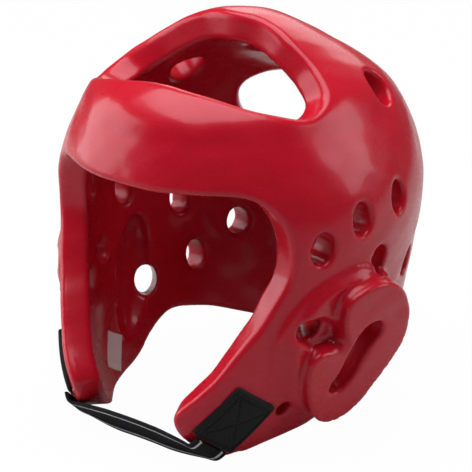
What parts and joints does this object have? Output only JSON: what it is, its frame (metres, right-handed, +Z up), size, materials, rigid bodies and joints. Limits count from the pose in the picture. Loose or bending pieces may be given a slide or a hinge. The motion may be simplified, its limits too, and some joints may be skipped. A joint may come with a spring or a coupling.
{
  "type": "taekwondo head guard",
  "caption": "Dipped foam head guard with an open face, an opening over the forehead, vents, padded ear guards and a black chin strap.",
  "frame": {"origin": "on the floor, in the middle of the whole's width and depth", "axes": "+Z up, the wearer faces -Y and the wearer's left side is +X"},
  "size_m": [0.2244, 0.2188, 0.23],
  "materials": {
    "red_vinyl": "gloss dipped coating over foam",
    "black_webbing": "woven",
    "black_patch": "loop tape with a sewn edge",
    "label_white": "printed satin, left blank"
  },
  "bodies": {
    "root": {"shell": "red_vinyl", "ear_guard_left": "red_vinyl", "ear_guard_right": "red_vinyl", "strap_patch_left": "black_patch", "strap_patch_right": "black_patch", "chin_strap": "black_webbing", "care_label": "label_white"}
  },
  "joints": []
}
